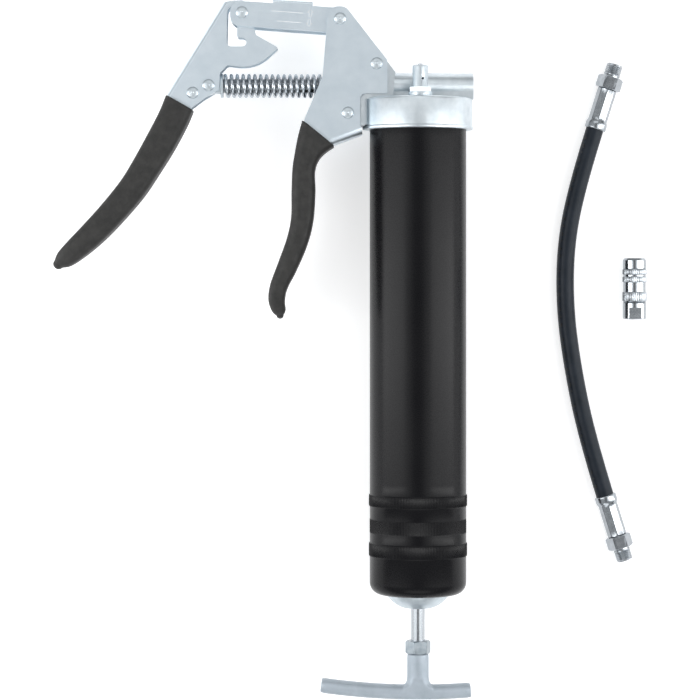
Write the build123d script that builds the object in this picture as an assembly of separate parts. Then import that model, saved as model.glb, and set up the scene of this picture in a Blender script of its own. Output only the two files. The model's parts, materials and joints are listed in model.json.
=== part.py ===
"""A one-hand lever grease gun with a reinforced hose and a jaw coupler, as an assembly of its real pieces.

The gun lies on its side. The model is drawn about the point where the barrel's axis meets the pump's axis:
X runs along the pump, with the levers at -X and the outlet at +X, Y runs along the barrel towards the head,
and Z is up from the surface that everything lies on. Each piece is shifted to the row's origin, below the
middle of the whole, when it is written.
"""

from build123d import *
from math import atan2, cos, degrees, hypot, pi, radians, sin, tan
import os

# Driving dimensions, in millimetres.
ORIGIN = (37.567, 153.175, 32.0)  # the drawing's zero point, seen from the row's origin
TABLE_Z = -32.0

SHEET = 2.0  # steel sheet of the levers
LEVER_HALF = 8.0  # half width over the lever channel
LINK_HALF = 10.3
FRAME_HALF = 12.6
LINK_PIN = (-45.1, 38.0)  # link on the handle frame
MODE_PIN = (-101.7, 41.8)  # link in the lever's slot
LEVER_PIN = (-121.1, 0.0)  # lever on the plunger
LEVER_RIVET = (-130.2, -4.4)
FRAME_RIVETS = ((-24.0, 12.2), (-40.6, -16.2))
PIN_R = 2.4
PIN_HEAD_R = 3.5
PIN_HEAD = 1.2
RUNNING = 0.06  # radial clearance of a running fit
GRIP_EDGE_R = 4.6
LEVER_BEND_R = 2.4  # outside radius of the folded edge
FRAME_BEND_R = 3.6
LEVER_FOLD = ((-111.2, 49.7), (-145.8, -6.5))
FRAME_FOLD = ((-51.94, -35.58), (-30.79, -27.82))  # along FRAME_EDGE, past both of its ends
FRAME_SHOULDER = (-65.6, -19.6)  # the cheeks' outer corner above the grip
FRAME_EDGE = [(-32.2, -28.34), (-49.12, -34.55)]  # the folded edge, from the ring to the grip

RING_R = 32.0
RING_TOP = -7.3
RING_BOTTOM = -25.5
PUMP_R = 7.4
PUMP_END = 32.0
CASTING_FACE = -47.6
PLUNGER_R = 4.0
PLUNGER = (-117.6, -13.0)
SEAT = (-114.3, -112.8)  # the washer that the return spring presses on
GLAND_R = 6.2
GLAND = 4.5  # depth of the gland nut, with the seal behind it
GLAND_BORE = 8.0
THREAD_R = 4.5  # wall radius of an M10 x 1 tapped hole
VALVE_BORE_R = 4.2
VALVE_BORE = (12.0, 23.0)
RETAINER = (20.5, 23.0)

BARREL_R = 28.0
BARREL_WALL = 1.5
BARREL_TOP = -11.8
BARREL_BOTTOM = -294.5
BAND_R = 28.45
RAISED_BANDS = ((-236.3, -243.6), (-264.2, -272.5))
PLUG_NECK_R = 10.0
WIPER_R = 6.0
WIPER = (-292.0, -289.0)
ROD_R = 4.0
ROD_HEAD = (-31.0, -29.0)
FOLLOWER_TOP = -33.5
CUP = (-42.0, -38.0)  # the follower cup's flat middle
HUB_R = 7.0
SPRING_SEATS = (-286.0, -43.5)
HANDLE_HUB = (-329.0, -347.0)
HANDLE_HUB_R = 6.2
ROD_FOOT = -342.0  # the rod's end in the handle's hub
NUT_HEIGHT = 7.5
BAR_MIDDLE = -351.45
BAR_RADIUS = 392.0
BAR_ENDS = (-56.1, 30.5)

BLEED_X = 0.9
BLEED_Z = 18.0
BLEED_HEX = (-4.6, -1.9)
BLEED_TOP = 10.7

HOSE_R = 5.2
HOSE_BORE_R = 2.5
FITTING_Z = -25.5  # a fitting lies on a flat of its 13 mm hexagon
HOSE_Z = -26.8
HOSE_ROUTE = (
    (104.9, -23.7, FITTING_Z),
    (95.4, -54.0, FITTING_Z),
    (87.9, -90.0, HOSE_Z),
    (87.2, -128.0, HOSE_Z),
    (92.2, -166.0, HOSE_Z),
    (100.6, -206.0, FITTING_Z),
    (110.9, -239.5, FITTING_Z),
)

COUPLER_X = 128.2
COUPLER_R = 6.87
COUPLER_KNURL_R = 7.15
COUPLER_TOP = -99.7
COUPLER_BOTTOM = -135.7
COUPLER_JOINT = -126.0  # where the sleeve meets the rear piece
COUPLER_KNURLS = ((-106.2, -109.4), (-110.5, -113.9), (-119.6, -125.0))
COUPLER_Z = TABLE_Z + COUPLER_KNURL_R
COUPLER_FLAT = 5.76  # from the axis to a wrench flat

# The grips, from the sheet metal down to the tip: (x, y, turn, width, share of the depth).
LEVER_GRIP = (
    (-137.9, -9.9, -29.7, 17.8, 0.92),
    (-142.0, -19.7, -27.0, 17.4, 1.0),
    (-149.3, -33.5, -29.5, 17.2, 1.0),
    (-157.5, -47.4, -32.7, 16.3, 1.0),
    (-165.6, -59.9, -37.0, 15.7, 1.0),
    (-177.4, -74.1, -43.0, 15.1, 0.98),
    (-188.7, -86.0, -46.0, 14.4, 0.95),
    (-198.9, -95.4, -48.0, 12.7, 0.86),
    (-205.0, -100.6, -48.0, 10.4, 0.68),
    (-208.4, -103.3, -46.0, 6.0, 0.40),
)
FIXED_GRIP = (
    (-57.6, -27.7, -38.9, 23.6, 1.0),
    (-63.4, -39.0, -14.0, 15.4, 1.0),
    (-66.1, -48.5, -3.0, 13.0, 1.0),
    (-66.3, -61.0, 0.0, 13.6, 1.0),
    (-67.0, -77.0, -5.0, 12.8, 0.99),
    (-69.9, -90.0, -14.0, 12.3, 0.96),
    (-75.6, -104.6, -22.0, 11.4, 0.92),
    (-80.6, -116.2, -18.0, 10.0, 0.84),
    (-81.9, -124.2, -6.0, 9.4, 0.74),
    (-80.7, -130.2, 4.0, 7.8, 0.58),
    (-79.9, -133.0, 6.0, 4.0, 0.36),
)
LEVER_GRIP_HALF = 12.0
FIXED_GRIP_HALF = 15.0
LEVER_TANG = 7  # stations that the steel reaches into the grip
FIXED_TANG = 5
TANG_INSET = 2.4


def cyl_x(radius, x0, x1, y=0.0, z=0.0):
    """A cylinder along X, from x0 up to x1."""
    body = Cylinder(radius, x1 - x0, align=(Align.CENTER, Align.CENTER, Align.MIN))
    return Pos(x0, y, z) * Rot(0, 90, 0) * body


def cyl_y(radius, y0, y1, x=0.0, z=0.0):
    """A cylinder along Y, from y0 up to y1."""
    body = Cylinder(radius, y1 - y0, align=(Align.CENTER, Align.CENTER, Align.MIN))
    return Pos(x, y0, z) * Rot(-90, 0, 0) * body


def cyl_z(radius, half, x, y):
    """A cylinder along Z, as far below the middle plane as above it."""
    return Pos(x, y, 0) * Cylinder(radius, 2 * half)


def flat(outline, radii=0.0):
    """A flat face inside a closed outline whose corners are rounded."""
    if not radii:
        return make_face(Polyline(*outline, close=True))
    return make_face(FilletPolyline(*outline, radius=radii, close=True))


def slab(face, low, high):
    """A face of the middle plane, made solid from one height to another."""
    return Pos(0, 0, low) * extrude(face, high - low, dir=(0, 0, 1))


def pair(face, inner, outer):
    """Two equal plates, one on each side of the middle plane."""
    return slab(face, inner, outer) + slab(face, -outer, -inner)


def turned_y(profile, x=0.0, z=0.0):
    """A solid turned about an axis along Y, from a profile of (radius, y) points."""
    return Pos(x, 0, z) * revolve(make_face(Polyline(*profile, close=True)), Axis.Y)


def tube_y(outer, inner, y0, y1, x=0.0, z=0.0):
    """A ring or sleeve along Y."""
    return cyl_y(outer, y0, y1, x, z) - cyl_y(inner, y0, y1, x, z)


def stadium(start, end, width):
    """A slot with round ends, between the centres of its ends."""
    length = hypot(end[0] - start[0], end[1] - start[1])
    turn = degrees(atan2(end[1] - start[1], end[0] - start[0]))
    middle = Pos((start[0] + end[0]) / 2, (start[1] + end[1]) / 2)
    return middle * Rot(0, 0, turn) * SlotCenterToCenter(length, width)


def shifted(points, distance):
    """The points of a line, each moved sideways to its left."""
    moved = []
    for i, (x, y) in enumerate(points):
        before = points[max(i - 1, 0)]
        after = points[min(i + 1, len(points) - 1)]
        along = hypot(after[0] - before[0], after[1] - before[1])
        left = (before[1] - after[1], after[0] - before[0])
        moved.append((x + distance * left[0] / along, y + distance * left[1] / along))
    return moved


def strip(points, width):
    """A band of sheet seen on edge, to the left of a line."""
    return flat(list(points) + shifted(points, width)[::-1])


def headed_pin(place, half, radius=PIN_R):
    """A riveted pin across the middle plane, with a low dimpled head at each end."""
    pin = cyl_z(radius, half, *place)
    for side in (1, -1):
        head = Pos(place[0], place[1], side * (half + PIN_HEAD / 2)) * Cylinder(PIN_HEAD_R, PIN_HEAD)
        head = chamfer(head.edges().group_by(Axis.Z)[-1 if side > 0 else 0], 0.45)
        dimple = Pos(place[0], place[1], side * (half + PIN_HEAD)) * Sphere(0.9)
        pin += head - dimple
    return pin


def coil_y(radius, wire, low, high, turns, end_radius=None):
    """A wire spring along Y. Its end turns stay half a wire inside low and high."""
    height = high - low - wire
    cone = 0.0
    if end_radius:
        cone = degrees_of_slope(end_radius - radius, height)
    path = Helix(pitch=height / turns, height=height, radius=radius, cone_angle=cone)
    section = Plane(origin=path @ 0, z_dir=path % 0) * Circle(wire / 2)
    return Pos(0, low + wire / 2, 0) * Rot(-90, 0, 0) * sweep(section, path, is_frenet=True)


def degrees_of_slope(rise, run):
    """The angle of a slope."""
    return Vector(run, 0).get_angle(Vector(run, rise)) * (1 if rise > 0 else -1)


def section_plane(x, y, turn):
    """The plane across a grip at a point of its middle line, its X pointing at the grip's inner side."""
    angle = radians(turn)
    return Plane(origin=(x, y, 0), x_dir=(cos(angle), sin(angle), 0), z_dir=(sin(angle), -cos(angle), 0))


def grip(stations, half_depth):
    """A moulded grip lofted through rounded sections of (x, y, turn, width, share of the depth)."""
    faces = []
    for x, y, turn, width, share in stations:
        depth = 2 * half_depth * share
        corner = min(0.42 * min(width, depth), GRIP_EDGE_R)
        faces.append(section_plane(x, y, turn) * RectangleRounded(width, depth, corner))
    return loft(faces)


def grip_side(stations, inset, side):
    """The points of one side of a grip, moved inwards. side is -1 for the outer side and 1 for the inner."""
    points = []
    for x, y, turn, width, _ in stations:
        reach = side * (width / 2 - inset)
        points.append((x + reach * cos(radians(turn)), y + reach * sin(radians(turn))))
    return points


def save(name, shape):
    """Write one piece, moved to the row's origin."""
    export_step(Pos(*ORIGIN) * shape, f"parts/{name}.step")


def bend_cut(start, end, half, radius):
    """The waste outside a fold's radius, along both edges of a web whose inside lies on its left."""
    length = hypot(end[0] - start[0], end[1] - start[1])
    turn = degrees(atan2(end[1] - start[1], end[0] - start[0]))
    waste = []
    for side in (1, -1):
        block = Box(length, radius + 2, radius + 2)
        block = Pos(length / 2, radius / 2 - 1, side * (half - radius / 2 + 1)) * block
        waste.append(block - cyl_x(radius, 0, length, radius, side * (half - radius)))
    return Pos(*start) * Rot(0, 0, turn) * (waste[0] + waste[1])


def lever_channel():
    """The lever's folded sheet: two cheeks with a hook and a stepped slot, and a web along the outer edge."""
    outer = [(-112.3, 47.9), (-145.0, -5.2)] + grip_side(LEVER_GRIP[1:LEVER_TANG], TANG_INSET, -1)
    inner = grip_side(LEVER_GRIP[1:LEVER_TANG], TANG_INSET, 1)[::-1]
    hook = [
        (-131.0, -13.2),
        (-123.8, -7.8),
        (-115.0, -2.6),
        (-114.5, 7.0),
        (-110.2, 11.7),
        (-100.5, 10.2),
        (-90.5, 12.9),
        (-80.9, 21.7),
        (-93.8, 29.0),
        (-95.2, 34.0),
        (-95.0, 44.5),
        (-101.0, 49.0),
        (-108.5, 48.6),
    ]
    sharp = [0.0] * (len(outer) + len(inner))
    rounding = [2.0, 2.0, 1.5, 2.5, 2.5, 24.0, 21.0, 0.6, 2.0, 3.0, 4.5, 4.0, 2.0]
    face = flat(outer + inner + hook, sharp + rounding)
    face -= stadium((-108.0, 24.9), (-101.8, 24.9), 5.2)
    face -= stadium((-107.65, 25.3), (-107.25, 41.8), 5.9)
    face -= stadium((-106.5, 41.8), MODE_PIN, 7.2)
    for place in (LEVER_PIN, LEVER_RIVET):
        face -= Pos(*place) * Circle(PIN_R)
    face = fillet(face.vertices().sort_by_distance((-104.7, 27.5, 0))[0], 1.2)
    channel = pair(face, LEVER_HALF - SHEET, LEVER_HALF)
    channel += slab(strip(outer, SHEET), SHEET - LEVER_HALF, LEVER_HALF - SHEET)
    return channel - bend_cut(*LEVER_FOLD, LEVER_HALF, LEVER_BEND_R)


def handle_frame():
    """The fixed lever's folded sheet: two cheeks riveted to the casting, and a web on the barrel's side."""
    inner = FRAME_EDGE + grip_side(FIXED_GRIP[1:FIXED_TANG], TANG_INSET, 1)
    outer = grip_side(FIXED_GRIP[1:FIXED_TANG], TANG_INSET, -1)[::-1]
    cheek = [
        FRAME_SHOULDER,
        (-55.2, 4.6),
        (-51.9, 45.0),
        (-41.9, 45.0),
        (-18.0, 14.2),
        (-18.0, -5.2),
        (-33.4, -5.2),
        (-33.4, -24.0),
        (-32.9, -24.3),
    ]
    sharp = [0.0] * (len(inner) + len(outer))
    rounding = [1.0, 8.0, 6.0, 5.5, 0.8, 0.8, 2.5, 0.0, 0.0]
    face = flat(inner + outer + cheek, sharp + rounding)
    for place in (LINK_PIN, *FRAME_RIVETS):
        face -= Pos(*place) * Circle(PIN_R)
    frame = pair(face, FRAME_HALF - SHEET, FRAME_HALF)
    frame += slab(strip(inner[::-1], SHEET), SHEET - FRAME_HALF, FRAME_HALF - SHEET)
    return frame - bend_cut(*FRAME_FOLD, FRAME_HALF, FRAME_BEND_R)


def link_bracket():
    """The link: two side plates joined by a raised bridge on top."""
    face = flat(
        ((-108.4, 48.8), (-40.2, 44.0), (-38.6, 29.2), (-108.6, 34.3)),
        [6.4, 6.0, 6.0, 5.5],
    )
    for place in (LINK_PIN, MODE_PIN):
        face -= Pos(*place) * Circle(PIN_R + (RUNNING if place is LINK_PIN else 0))
    bridge = flat(((-83.8, 45.0), (-83.8, 49.2), (-60.9, 48.0), (-60.9, 43.0)))
    below = flat(((-84.8, 40.0), (-84.8, 47.2), (-59.9, 46.0), (-59.9, 40.0)))
    link = pair(face, LINK_HALF - SHEET, LINK_HALF)
    arch = slab(bridge, -LINK_HALF, LINK_HALF) - slab(below, SHEET - LINK_HALF, LINK_HALF - SHEET)
    return link + fillet(arch.edges().filter_by(Axis.Z, reverse=True).group_by(Axis.Y)[-1], 1.4)


def head_casting():
    """The cast head: barrel ring, pump cylinder on a pedestal, and the lug between the frame's cheeks."""
    ring = turned_y(
        (
            (0, RING_TOP),
            (RING_R - 2.0, RING_TOP),
            (RING_R - 0.8, RING_TOP - 0.5),
            (RING_R - 0.4, RING_TOP - 1.6),
            (RING_R - 0.4, RING_BOTTOM + 2.0),
            (RING_R, RING_BOTTOM + 1.5),
            (RING_R, RING_BOTTOM + 0.4),
            (RING_R - 0.5, RING_BOTTOM),
            (BARREL_R + 0.08, RING_BOTTOM),
            (BARREL_R + 0.08, RING_TOP - 3.0),
            (0, RING_TOP - 3.0),
        )
    )
    lug = flat(
        (
            (-13.2, 7.3),
            (-21.4, 18.0),
            (-30.0, 18.0),
            (CASTING_FACE, 9.5),
            (CASTING_FACE, -19.0),
            (-38.0, -23.0),
            (-29.0, -23.0),
            (-29.0, -7.0),
            (-14.6, -7.0),
        )
    )
    shoulder = flat(
        (
            (-33.2, -8.0),
            (-30.6, -5.4),
            (-17.8, -5.4),
            (-17.8, -8.2),
            (-30.8, -8.2),
            (-30.8, -23.6),
            (-33.2, -23.6),
        )
    )
    casting = ring + cyl_x(PUMP_R, -20.0, PUMP_END)
    casting += slab(lug, SHEET - FRAME_HALF, FRAME_HALF - SHEET)
    casting += slab(shoulder, -FRAME_HALF, FRAME_HALF) - cyl_y(RING_R - 2.0, RING_BOTTOM, RING_TOP - 1.0)
    casting += Pos(8.0, -4.5, 0) * Box(48.0, 7.0, 13.0)
    casting += cyl_y(5.5, -16.0, -9.0, x=-9.0)
    casting -= cyl_x(PLUNGER_R + RUNNING, CASTING_FACE, 9.5)
    casting -= cyl_x(GLAND_R, CASTING_FACE, CASTING_FACE + GLAND_BORE)
    casting -= cyl_y(2.5, -16.0, 0.0, x=-9.0)
    casting -= cyl_x(2.5, 9.0, 12.0)
    casting -= cyl_x(VALVE_BORE_R, *VALVE_BORE)
    casting -= cyl_x(THREAD_R, VALVE_BORE[1], PUMP_END)
    casting -= cyl_y(4.0, RING_TOP - 3.0, RING_TOP, x=BLEED_X, z=BLEED_Z)
    for x, y in FRAME_RIVETS:
        casting -= cyl_z(PIN_R, FRAME_HALF, x, y)
    return casting


def bleed_body():
    """The air bleed stud: a threaded spigot, round base, thin hexagon and cross-drilled stud."""
    outline = RegularPolygon(6.0, 6, major_radius=False, rotation=30)
    hexagon = Rot(-90, 0, 0) * extrude(outline, BLEED_HEX[1] - BLEED_HEX[0])
    hexagon = Pos(BLEED_X, BLEED_HEX[0], BLEED_Z) * hexagon
    stud = turned_y(
        ((0, -2.8), (4.45, -2.8), (4.45, BLEED_TOP - 0.5), (3.95, BLEED_TOP), (0, BLEED_TOP)),
        BLEED_X,
        BLEED_Z,
    )
    body = cyl_y(4.0, -15.0, RING_TOP, BLEED_X, BLEED_Z)
    body += cyl_y(6.75, RING_TOP, BLEED_HEX[0], BLEED_X, BLEED_Z)
    body += hexagon + stud
    body -= cyl_y(1.3, -15.0, BLEED_TOP, BLEED_X, BLEED_Z)
    body -= cyl_y(2.3, -15.0, -5.0, BLEED_X, BLEED_Z)
    return body - Pos(BLEED_X, 3.0, BLEED_Z) * Rot(0, 18, 0) * Cylinder(0.75, 12.0)


def barrel_tube():
    """The grease barrel: a drawn steel cup with two raised grip bands."""
    inner = BARREL_R - BARREL_WALL
    shell = cyl_y(BARREL_R, BARREL_BOTTOM, BARREL_TOP)
    shell = fillet(shell.edges().group_by(Axis.Y)[0], 7.0)
    hollow = cyl_y(inner, BARREL_BOTTOM + BARREL_WALL, BARREL_TOP)
    hollow = fillet(hollow.edges().group_by(Axis.Y)[0], 5.5)
    for high, low in RAISED_BANDS:
        band = cyl_y(BAND_R, low, high) - cyl_y(BARREL_R - 0.2, low, high)
        shell += chamfer(band.edges().filter_by(GeomType.CIRCLE).sort_by(SortBy.RADIUS)[-2:], 0.35)
    return shell - hollow - cyl_y(PLUG_NECK_R, BARREL_BOTTOM, BARREL_BOTTOM + 2.0)


def end_plug():
    """The bowl-shaped plug that closes the barrel and guides the rod."""
    bore = ROD_R + RUNNING
    rim = (18.2, BARREL_BOTTOM)
    nose = (8.4, -302.3)
    neck = ((bore, -286.0), (PLUG_NECK_R, -286.0), (PLUG_NECK_R, BARREL_BOTTOM))
    profile = Polyline((bore, nose[1]), *neck, rim)
    profile += ThreePointArc(rim, (14.0, -299.4), nose)
    profile += Line(nose, (bore, nose[1]))
    return revolve(make_face(profile), Axis.Y) - cyl_y(WIPER_R, *WIPER)


def t_handle():
    """The cast pull handle: a hub with a slightly bowed bar of unequal arms."""
    centre = (0, BAR_MIDDLE + BAR_RADIUS)
    ends = []
    for x in BAR_ENDS:
        ends.append((x, centre[1] - (BAR_RADIUS**2 - x**2) ** 0.5))
    path = ThreePointArc(ends[0], (0, BAR_MIDDLE), ends[1])
    bar = sweep(Plane(origin=path @ 0, z_dir=path % 0, x_dir=(0, 0, 1)) * Ellipse(5.4, 4.1), path)
    bar = chamfer(bar.edges().filter_by(GeomType.ELLIPSE), 1.0)
    hub = cyl_y(HANDLE_HUB_R, HANDLE_HUB[1] - 1.0, HANDLE_HUB[0])
    low, high = -349.0, -340.0
    flare = turned_y(
        ((0, high), (HANDLE_HUB_R, high), (6.7, -344.2), (7.8, -346.3), (9.8, -347.7), (9.8, low), (0, low))
    )
    web = slab(flat(((-12.0, -349.0), (12.0, -349.0), (12.0, -335.0), (-12.0, -335.0))), -5.0, 5.0)
    return bar + hub + (flare & web) - cyl_y(ROD_R, ROD_FOOT, HANDLE_HUB[0])


def route_radii(points):
    """The largest arc that each corner of the hose's route allows."""
    corners = [Vector(*p) for p in points]
    radii = []
    for before, here, after in zip(corners, corners[1:], corners[2:]):
        half_turn = radians((here - before).get_angle(after - here)) / 2
        shorter = min((here - before).length, (after - here).length)
        radii.append(0.45 * shorter / tan(half_turn))
    return radii


def hose_end(tip_point, inside_point):
    """The plane at a hose end, looking out along the hose, with its Y up so that a hexagon flat lies down."""
    out = (Vector(*tip_point) - Vector(*inside_point)).normalized()
    return Plane(origin=tip_point, x_dir=(-out.Y, out.X, 0), z_dir=(out.X, out.Y, 0))


def ferrule():
    """A crimped sleeve: a round flare at the hose and a long eight-sided crimp."""
    flare = Pos(0, 0, 2.3) * Cylinder(6.4, 4.6)
    flare = chamfer(flare.edges().filter_by(GeomType.CIRCLE), 0.5)
    crimp = Pos(0, 0, 4.6) * extrude(RegularPolygon(5.6, 8, major_radius=False), 20.1)
    return flare + crimp - Pos(0, 0, 12.35) * Cylinder(HOSE_BORE_R, 24.7)


def hose_fitting():
    """A hexagon with a threaded male tip."""
    hexagon = Pos(0, 0, 24.7) * extrude(RegularPolygon(6.5, 6, major_radius=False), 7.5)
    tip = Pos(0, 0, 36.15) * Cylinder(4.93, 7.9)
    tip = chamfer(tip.edges().group_by(Axis.Z)[-1], 0.8)
    return hexagon + tip - Pos(0, 0, 32.4) * Cylinder(1.8, 15.4)


def coupler_sleeve():
    """The coupler's outer sleeve with its knurled bands and the mouth that takes a grease nipple."""
    body = cyl_y(COUPLER_R, COUPLER_JOINT, COUPLER_TOP, COUPLER_X, COUPLER_Z)
    body = chamfer(body.edges().group_by(Axis.Y)[-1], 0.8)
    for high, low in COUPLER_KNURLS:
        body += cyl_y(COUPLER_KNURL_R, low, high, COUPLER_X, COUPLER_Z)
    body -= cyl_y(3.6, COUPLER_JOINT, COUPLER_TOP, COUPLER_X, COUPLER_Z)
    body -= cyl_y(4.7, COUPLER_JOINT, -101.6, COUPLER_X, COUPLER_Z)
    return body - cyl_y(5.06, COUPLER_JOINT, -114.5, COUPLER_X, COUPLER_Z)


def coupler_body():
    """The coupler's rear: a shank in the sleeve, wrench flats and a tapped inlet."""
    body = cyl_y(COUPLER_R, COUPLER_BOTTOM, COUPLER_JOINT, COUPLER_X, COUPLER_Z)
    body = chamfer(body.edges().group_by(Axis.Y)[0], 0.6)
    across = 2 * COUPLER_R + 2
    for side in (1, -1):
        body -= Pos(COUPLER_X, -132.0, COUPLER_Z + side * (COUPLER_FLAT + 2.0)) * Box(across, 6.4, 4.0)
    body += cyl_y(5.0, COUPLER_JOINT, -115.0, COUPLER_X, COUPLER_Z)
    body -= cyl_y(THREAD_R, COUPLER_BOTTOM, -126.5, COUPLER_X, COUPLER_Z)
    return body - cyl_y(1.5, COUPLER_BOTTOM, -115.0, COUPLER_X, COUPLER_Z)


def coupler_jaws():
    """Four loose jaws that grip the nipple's head."""
    ring = tube_y(4.55, 3.4, -108.0, -101.8, COUPLER_X, COUPLER_Z)
    gap = 0.8
    for box in (Box(gap, 8, 12), Box(12, 8, gap)):
        ring -= Pos(COUPLER_X, -105.0, COUPLER_Z) * box
    return ring


os.makedirs("parts", exist_ok=True)

# The head and the fixed lever.
save("head_casting", head_casting())
save("handle_frame", handle_frame())
inside = FIXED_GRIP[1:FIXED_TANG]
tang = flat(FRAME_EDGE + grip_side(inside, TANG_INSET, 1) + grip_side(inside, TANG_INSET, -1)[::-1] + [FRAME_SHOULDER])
save("fixed_grip", grip(FIXED_GRIP, FIXED_GRIP_HALF) - slab(tang, -FRAME_HALF, FRAME_HALF) - handle_frame())
save("frame_rivets", Compound([headed_pin(place, FRAME_HALF) for place in FRAME_RIVETS]))
save("link_pin", headed_pin(LINK_PIN, FRAME_HALF))
running = cyl_x(PLUNGER_R + RUNNING, -50.0, -38.0)
save("gland_nut", cyl_x(GLAND_R, CASTING_FACE, CASTING_FACE + GLAND) - running)
save("plunger_seal", cyl_x(GLAND_R, CASTING_FACE + GLAND, CASTING_FACE + GLAND_BORE) - running)
save("valve_retainer", cyl_x(VALVE_BORE_R, *RETAINER) - cyl_x(1.6, *RETAINER))
save("bleed_body", bleed_body())
save("bleed_retainer", tube_y(2.3, 1.2, -15.0, -14.0, BLEED_X, BLEED_Z))

# The valves.
save("outlet_ball", Pos(14.46, 0, 0) * Sphere(3.5))
save("outlet_spring", Rot(0, 0, -90) * coil_y(2.3, 0.5, 17.7, 20.4, 3))
save("bleed_ball", Pos(BLEED_X, -6.5, BLEED_Z) * Sphere(1.9))
save("bleed_pin", cyl_y(1.24, -4.6, BLEED_TOP + 0.9, BLEED_X, BLEED_Z))
save("bleed_spring", Pos(BLEED_X, 0, BLEED_Z) * coil_y(1.7, 0.5, -13.95, -8.2, 5))

# The pump.
plunger = cyl_x(PLUNGER_R, *PLUNGER)
save("pump_plunger", chamfer(plunger.edges().group_by(Axis.X)[-1], 0.5))
yoke = cyl_z(5.2, 5.9, *LEVER_PIN) + Pos(-117.7, 0, 0) * Box(6.8, 8.6, 11.8)
save("plunger_yoke", yoke - cyl_z(PIN_R + RUNNING, 6.0, *LEVER_PIN) - cyl_x(PLUNGER_R, PLUNGER[0], SEAT[0]))
save("spring_seat", cyl_x(6.9, *SEAT) - cyl_x(PLUNGER_R, *SEAT))
save("return_spring", Rot(0, 0, -90) * coil_y(6.05, 2.1, SEAT[1], CASTING_FACE, 18.5))

# The moving lever and the link.
save("lever_channel", lever_channel())
inside = LEVER_GRIP[:LEVER_TANG]
tang = flat(grip_side(inside, TANG_INSET, 1) + grip_side(inside, TANG_INSET, -1)[::-1])
moulded = grip(LEVER_GRIP, LEVER_GRIP_HALF) - slab(tang, -LEVER_HALF, LEVER_HALF) - lever_channel()
save("lever_grip", moulded.solids().sort_by(SortBy.VOLUME)[-1])
save("lever_pin", headed_pin(LEVER_PIN, LEVER_HALF))
save("lever_rivet", headed_pin(LEVER_RIVET, LEVER_HALF))
save("link_bracket", link_bracket())
save("mode_pin", headed_pin(MODE_PIN, LINK_HALF))

# The barrel and its follower.
save("barrel_gasket", tube_y(27.9, 22.8, BARREL_TOP, RING_TOP - 3.0))
save("barrel_tube", barrel_tube())
save("end_plug", end_plug())
save("plug_nut", tube_y(15.0, PLUG_NECK_R, -293.0, -288.0))
save("rod_wiper", tube_y(WIPER_R, ROD_R + RUNNING, *WIPER))
save("piston_rod", cyl_y(ROD_R, ROD_FOOT, ROD_HEAD[0]) + cyl_y(5.6, *ROD_HEAD))
save("rod_washer", tube_y(9.0, ROD_R + RUNNING, FOLLOWER_TOP, ROD_HEAD[0]))
hexagon = RegularPolygon(6.5, 6, major_radius=False, rotation=12)
nut = Pos(0, HANDLE_HUB[0], 0) * Rot(-90, 0, 0) * extrude(hexagon, NUT_HEIGHT)
save("rod_nut", nut - cyl_y(ROD_R, HANDLE_HUB[0], HANDLE_HUB[0] + NUT_HEIGHT))
save("t_handle", t_handle())
hub = tube_y(HUB_R, ROD_R + RUNNING, -50.0, FOLLOWER_TOP)
save("follower_hub", hub + tube_y(12.0, HUB_R, -45.5, SPRING_SEATS[1]))
cup = (
    (HUB_R, CUP[1]),
    (22.5, CUP[1]),
    (24.6, -34.0),
    (26.2, -34.0),
    (25.6, -40.0),
    (26.2, -46.0),
    (24.6, -46.0),
    (22.5, CUP[0]),
    (HUB_R, CUP[0]),
)
save("follower_cup", turned_y(cup))
save("follower_front_disc", tube_y(20.0, HUB_R, CUP[1], CUP[1] + 1.5))
save("follower_back_disc", tube_y(22.0, HUB_R, SPRING_SEATS[1], CUP[0]))
save("follower_spring", coil_y(18.0, 2.5, *SPRING_SEATS, 14, end_radius=20.0))

# The hose.
radii = route_radii(HOSE_ROUTE)
path = FilletPolyline(*HOSE_ROUTE, radius=radii)
start = Plane(origin=path @ 0, z_dir=path % 0)
hose = sweep(start * Circle(HOSE_R), path) - sweep(start * Circle(HOSE_BORE_R), path)
save("hose_tube", hose)
section = pi * (HOSE_R**2 - HOSE_BORE_R**2)
print("hose arcs", [round(r) for r in radii], "length", round(path.length, 1))
print("hose volume over section x length", round(hose.volume / (section * path.length), 4))
for name, tip_point, inside_point in (("top", *HOSE_ROUTE[:2]), ("bottom", *HOSE_ROUTE[:-3:-1])):
    end = hose_end(tip_point, inside_point)
    save(f"hose_ferrule_{name}", end * ferrule())
    save(f"hose_fitting_{name}", end * hose_fitting())

# The coupler.
save("coupler_sleeve", coupler_sleeve())
save("coupler_body", coupler_body())
save("coupler_jaws", coupler_jaws())
save("coupler_seal", tube_y(4.5, 1.5, -111.0, -108.3, COUPLER_X, COUPLER_Z))
save("coupler_spring", Pos(COUPLER_X, 0, COUPLER_Z) * coil_y(3.6, 0.7, -115.0, -111.0, 3))
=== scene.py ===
"""The looks of the lever grease gun, its hose and its coupler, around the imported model."""

import json
from math import atan2, cos, floor, pi, radians, sin, sqrt, tan

import bmesh
import bpy
from mathutils import Matrix, Vector


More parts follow.
